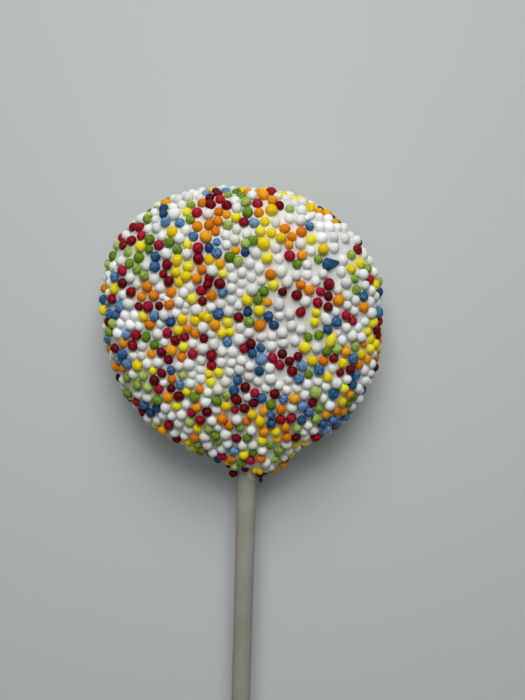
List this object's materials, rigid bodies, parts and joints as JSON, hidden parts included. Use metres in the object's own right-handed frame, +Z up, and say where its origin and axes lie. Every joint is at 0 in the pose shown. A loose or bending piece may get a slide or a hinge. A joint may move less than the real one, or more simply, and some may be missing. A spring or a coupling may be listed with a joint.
{
  "type": "cake pop",
  "caption": "Cake pop lying on its back: a flattened round cake in white icing, covered with small coloured sugar beads, on a plain paper stick.",
  "frame": {"origin": "centre of the small flat foot on the cake's back, on the surface that the pop lies on", "axes": "+Y from the stick towards the top of the cake, +Z up out of the shown face"},
  "size_m": [0.0497, 0.1752, 0.0177],
  "materials": {
    "icing": "satin white icing with small coloured sugar beads",
    "paper": "matt off-white rolled paper"
  },
  "bodies": {
    "root": {"iced_cake": "icing", "stick": "paper"}
  },
  "joints": []
}
